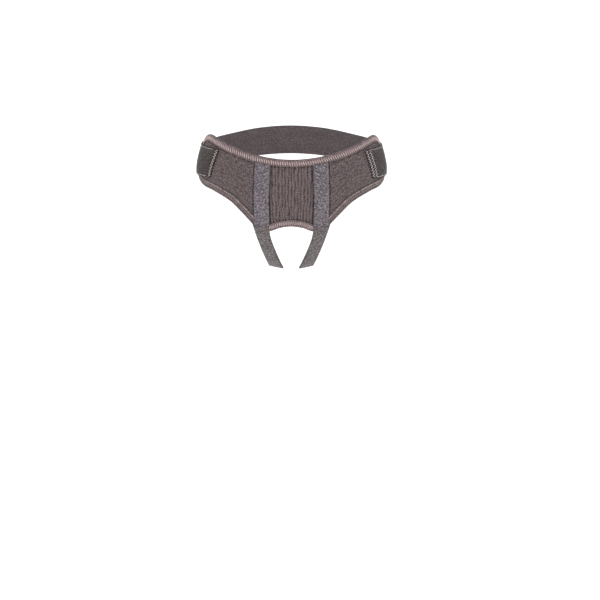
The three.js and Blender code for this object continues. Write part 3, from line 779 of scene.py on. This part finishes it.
def smooth_line(points, steps):
    """Smooth line through points, with the same number of steps from each to the next."""
    ends = np.concatenate([[2 * points[0] - points[1]], points, [2 * points[-1] - points[-2]]])
    gaps = np.sqrt(np.linalg.norm(np.diff(ends, axis=0), axis=-1))[:, None]
    slopes = np.diff(ends, axis=0) / gaps
    line = []
    for number in range(1, len(ends) - 2):
        before, here, after = gaps[number - 1:number + 2]
        leave = here * (slopes[number - 1] - (ends[number + 1] - ends[number - 1]) / (before + here)
                        + slopes[number])
        arrive = here * (slopes[number] - (ends[number + 2] - ends[number]) / (here + after)
                         + slopes[number + 1])
        start, end = ends[number], ends[number + 1]
        t = np.linspace(0, 1, steps, endpoint=False)[:, None]
        line.append(start + t * (leave + t * (3 * (end - start) - 2 * leave - arrive
                                              + t * (2 * (start - end) + leave + arrive))))
    return np.concatenate([*line, [points[-1]]])


strap_web = cloth_material(
    "strap_web", colour(38, 33, 35), colour(104, 97, 103), colour(158, 149, 151), colour(58, 55, 68),
    pitch=(0.0011, 0.0013), pale=colour(120, 113, 107), fleck_size=0.0017, slant=38, stretch=3,
    unevenness=0.35, flecks=0.75, clumps=0.28, roughness=0.9)
dark_thread = thread_material("dark_thread", colour(96, 86, 90))

strap_across = shares(17, STRAP_RIM)
rails = np.array([
    smooth_line(strap_rows(STRAP_WIDTH * (share - 0.5)), STRAP_STEPS) for share in strap_across])
strap_normal = unit(np.cross(np.gradient(rails, axis=1), np.gradient(rails, axis=0)))
strap_middle = rails[len(rails) // 2]
strap_lengths = np.concatenate([[0], np.cumsum(np.linalg.norm(np.diff(strap_middle, axis=0), axis=-1))])
strap_length = strap_lengths[-1]
going_down = slice(0, STRAP_STEPS * (STRAP_FRONT_ROWS + 3))
strap_seam = float(np.interp(-SEAM_HEIGHT, -strap_middle[going_down, 2], strap_lengths[going_down]))


def on_strap(offset, length, lift):
    """Points over a strap's outer face, at offsets from its middle and lengths from its top."""
    column = np.interp(offset / STRAP_WIDTH + 0.5, strap_across, np.arange(len(strap_across)))
    row = np.interp(length, strap_lengths, np.arange(len(strap_lengths)))
    c = np.clip(column.astype(int), 0, len(strap_across) - 2)
    r = np.clip(row.astype(int), 0, len(strap_lengths) - 2)
    column, row = (column - c)[..., None], (row - r)[..., None]
    near = mix(rails[c, r], rails[c + 1, r], column)
    far = mix(rails[c, r + 1], rails[c + 1, r + 1], column)
    seat = mix(near, far, row)
    return seat + strap_normal[c, r] * (STRAP_THICKNESS + lift)[..., None]


for side, word in ((1, "left"), (-1, "right")):
    share = strap_across[:, None] + 0 * rails[..., 0]
    length = strap_lengths[None, :] + 0 * rails[..., 0]
    rim = rounded(share, STRAP_RIM) * rounded(length / strap_length, STRAP_END_RIM)
    sewn = np.exp(-((length - strap_seam) / STRAP_SEWN_WIDTH) ** 2)
    below = ease((length - strap_seam) / 0.003)
    uneven = ripple(41 + side, share * STRAP_WIDTH, length, 0.007)
    rib = np.cos(2 * math.pi * length / CROSS_RIB_PITCH + 2 * uneven)
    selvage = np.exp(-(((1 - share if side > 0 else share) - 0.07) / 0.05) ** 2)
    swell = mix(0.00006, 0.0002, below) * rib - 0.0004 * sewn + 0.00018 * np.sin(math.pi * share)
    outer = rails + strap_normal * (STRAP_THICKNESS * (0.5 + 0.5 * rim) + swell)[..., None]
    inner = rails + strap_normal * (STRAP_THICKNESS * (0.5 - 0.5 * rim))[..., None]
    # Painted shade: darker in the grooves of the cross ribs (deeper below the seam), in the sunken seam
    # across the strap and towards its rounded edges.
    painted_relief_shade = np.clip(mix(0.86, 0.62, below) + mix(0.12, 0.38, below) * rib - 0.8 * sewn, 0, 1)
    painted_relief_shade = painted_relief_shade * np.clip(rounded(share, 0.05), 0.3, 1)
    pale = np.clip(0.8 * below + selvage, 0, 1)
    mirror = np.array([side, 1, 1])
    strap = add_cloth(f"elastic_strap_{word}", outer * mirror, inner * mirror, painted_relief_shade, pale)
    strap.data.materials.append(strap_web)
    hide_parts(f"strap_{word}")
    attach(strap, "root")

    # A row down each side of the sewn front, two rows across at the panels' lower edge, and a box
    # with a cross where the strap ends on the band
    paths = []
    duck = np.array([-0.0003, 0.0001, 0.0001, -0.0003])
    quarter = np.array([0, 0.15, 0.85, 1])
    lines = [((offset, 0.002), (offset, strap_seam)) for offset in (-ROW_OFFSET, ROW_OFFSET)]
    for row in (strap_seam - 0.0007, strap_seam + 0.0011):
        lines.append(((-ROW_OFFSET, row), (ROW_OFFSET, row)))
    corners = [(-BOX_OFFSET, strap_length - BOX_FAR), (BOX_OFFSET, strap_length - BOX_FAR),
               (BOX_OFFSET, strap_length - BOX_NEAR), (-BOX_OFFSET, strap_length - BOX_NEAR)]
    lines += list(zip(corners, corners[1:] + corners[:1]))
    lines += [(corners[0], corners[2]), (corners[1], corners[3])]
    for start, end in lines:
        count = max(int(math.dist(start, end) / STITCH_PITCH), 1)
        for number in range(count):
            share = (number + 0.12 + 0.76 * quarter) / count
            offset, length = mix(start[0], end[0], share), mix(start[1], end[1], share)
            paths.append(mirror * on_strap(offset, length, duck))
    stitches = add_threads(
        f"strap_stitches_{word}", paths, DARK_THREAD_RADIUS, dark_thread)

# Back band: broad elastic with lengthwise cords, round the back from side to side. Its ends are
# folded double, where they meet the side panels under the tabs.
BAND_THICKNESS = 0.0022
BAND_FOLD_TURN = 106
BUTT_TURN = 0.6
BAND_CORDS = 30
BAND_STEPS = 6
BAND_COLUMNS = 190
BAND_RIM = 0.02
CORD_DEPTH = 0.00032

band_web = cloth_material(
    "band_web", colour(46, 38, 40), colour(98, 88, 90), colour(132, 120, 121), colour(62, 54, 57),
    pitch=(0.0016, 0.0017), stagger=0, unevenness=0.15, flecks=0.6, roughness=0.9)
across, up = np.meshgrid(
    np.linspace(0, 1, BAND_COLUMNS + 1), shares(BAND_CORDS * BAND_STEPS + 1, BAND_RIM), indexing="ij")
turn = mix(WING_TURN + BUTT_TURN, 360 - WING_TURN - BUTT_TURN, across)
nearer = np.minimum(turn, 360 - turn)
height = band_line(nearer) + BAND_HEIGHT * (up - 0.5)
folded = ease((BAND_FOLD_TURN - nearer) / 1.2)
thickness = mix(BAND_THICKNESS, PAD_THICKNESS, folded)
cord = np.abs(np.sin(math.pi * BAND_CORDS * up)) ** 0.7
rim = rounded(up, BAND_RIM) * rounded(across, 0.003)
outer_lift = thickness * (0.5 + 0.5 * rim) - CORD_DEPTH * (1 - cord)
inner_lift = thickness * (0.5 - 0.5 * rim) + CORD_DEPTH * (1 - cord)
outer = over_hips(turn, height, outer_lift)
inner = over_hips(turn, height, inner_lift)
# Painted shade: darker between the cords and towards the band's rounded edges.
band = add_cloth("elastic_band", outer, inner, np.clip(cord, 0, 1) * np.clip(rim, 0.6, 1))
band.data.materials.append(band_web)
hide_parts("back_band")
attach(band, "root")

# Hip tabs: stiff woven tabs with rounded corners that close the belt over each hip, hooked on the
# side panel and sewn to the band. A light zigzag holds the front end, and a light running stitch
# both long edges.
TAB_FRONT_TURN = 62.7
TAB_REAR_TURN = 104
TAB_LEAN_TURN = 5.2
TAB_HEIGHT = 0.05
TAB_THICKNESS = 0.0018
TAB_CORNER = 0.005
TAB_LEVEL = 0.00435
TAB_COLUMNS = 90
TAB_ROWS = 44
TAB_FRONT_RIM = 0.009
TAB_EDGE_RIM = 0.02
HEM_DEPTH = 0.0025
TAB_SEWN_WIDTH = 0.0016
TAB_THREAD_RADIUS = 0.0003
TAB_ROWS_SEWN = {"left": ((0.0016, 0.0064), (0.0094, 0.0142)), "right": ((0.0018, 0.0066),)}

tab_cloth = cloth_material(
    "tab_cloth", colour(19, 15, 14), colour(51, 43, 42), colour(98, 88, 85), colour(23, 20, 19),
    pitch=(0.0012, 0.0012), fleck_size=0.0026, slant=-30, stretch=1.3, unevenness=0.4, flecks=0.75,
    clumps=0.35, roughness=0.9)
tab_thread = thread_material("tab_thread", colour(222, 210, 210))


def tab_place(run, share, lift, side):
    """Points over a tab, at runs back from its front end and shares of its height."""
    height = TAB_HEIGHT * (share - 0.5)
    to_corner = np.maximum(TAB_CORNER - (TAB_HEIGHT / 2 - np.abs(height)), 0)
    inset = TAB_CORNER - np.sqrt(np.maximum(TAB_CORNER ** 2 - to_corner ** 2, 0))
    inset_turn = turn_of(inset, TAB_FRONT_TURN, 0)
    front = TAB_FRONT_TURN + TAB_LEAN_TURN * (0.5 - share) + inset_turn
    turn = mix(front, TAB_REAR_TURN - inset_turn, run)
    return over_hips(turn, band_line(turn) + height, TAB_LEVEL + lift) * np.array([side, 1, 1])


line = np.linspace(0, 1, 80)
line = tab_place(line, 0.5 + 0 * line, 0 * line, 1)
tab_length = float(np.linalg.norm(np.diff(line, axis=0), axis=-1).sum())
for side, word in ((1, "left"), (-1, "right")):
    run, share = np.meshgrid(
        shares(TAB_COLUMNS, TAB_FRONT_RIM), shares(TAB_ROWS, TAB_EDGE_RIM), indexing="ij")
    rim = rounded(run, TAB_FRONT_RIM) * rounded(share, TAB_EDGE_RIM)
    run_length = run * tab_length
    sewn = sum(
        np.exp(-((run_length - (near + far) / 2) / TAB_SEWN_WIDTH) ** 2) for near, far in TAB_ROWS_SEWN[word])
    hem = np.exp(-((np.minimum(share, 1 - share) * TAB_HEIGHT - HEM_DEPTH) / 0.0006) ** 2)
    sewn = np.clip(sewn + hem, 0, 1)
    wave = ripple(51 + side, run_length, share * TAB_HEIGHT, 0.03)
    swell = 0.0002 * wave - 0.00025 * sewn
    outer = tab_place(run, share, TAB_THICKNESS * (0.5 + 0.5 * rim) + swell, side)
    inner = tab_place(run, share, TAB_THICKNESS * (0.5 - 0.5 * rim), side)
    # Painted shade: darker in the sunken sewn rows and towards the tab's rounded edges.
    painted_relief_shade = (1 - 0.5 * sewn) * np.clip(rim, 0.4, 1)
    tab = add_cloth(f"closing_tab_{word}", outer, inner, painted_relief_shade)
    tab.data.materials.append(tab_cloth)
    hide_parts(f"hip_tab_{word}")
    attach(tab, "root")
    paths = []
    for near, far in TAB_ROWS_SEWN[word]:
        places = np.linspace(0.05, 0.95, 20)
        for number, (first, second) in enumerate(zip(places, places[1:])):
            start, end = (near, far) if number % 2 else (far, near)
            step = np.array([0, 0.12, 0.88, 1])
            sunk = TAB_THICKNESS + np.array([-0.0004, 0.00005, 0.00005, -0.0004])
            back = mix(start, end, step) / tab_length
            paths.append(tab_place(back, mix(first, second, step), sunk, side))
    for share_up in (HEM_DEPTH / TAB_HEIGHT, 1 - HEM_DEPTH / TAB_HEIGHT):
        places = np.linspace(0.1, 0.94, 37)
        for first, second in zip(places, places[1:]):
            step = mix(first, second, np.array([0.1, 0.25, 0.75, 0.9]))
            sunk = TAB_THICKNESS + np.array([-0.0004, 0.00002, 0.00002, -0.0004])
            paths.append(tab_place(step, share_up + 0 * step, sunk, side))
    stitches = add_threads(f"tab_stitches_{word}", paths, TAB_THREAD_RADIUS, tab_thread)
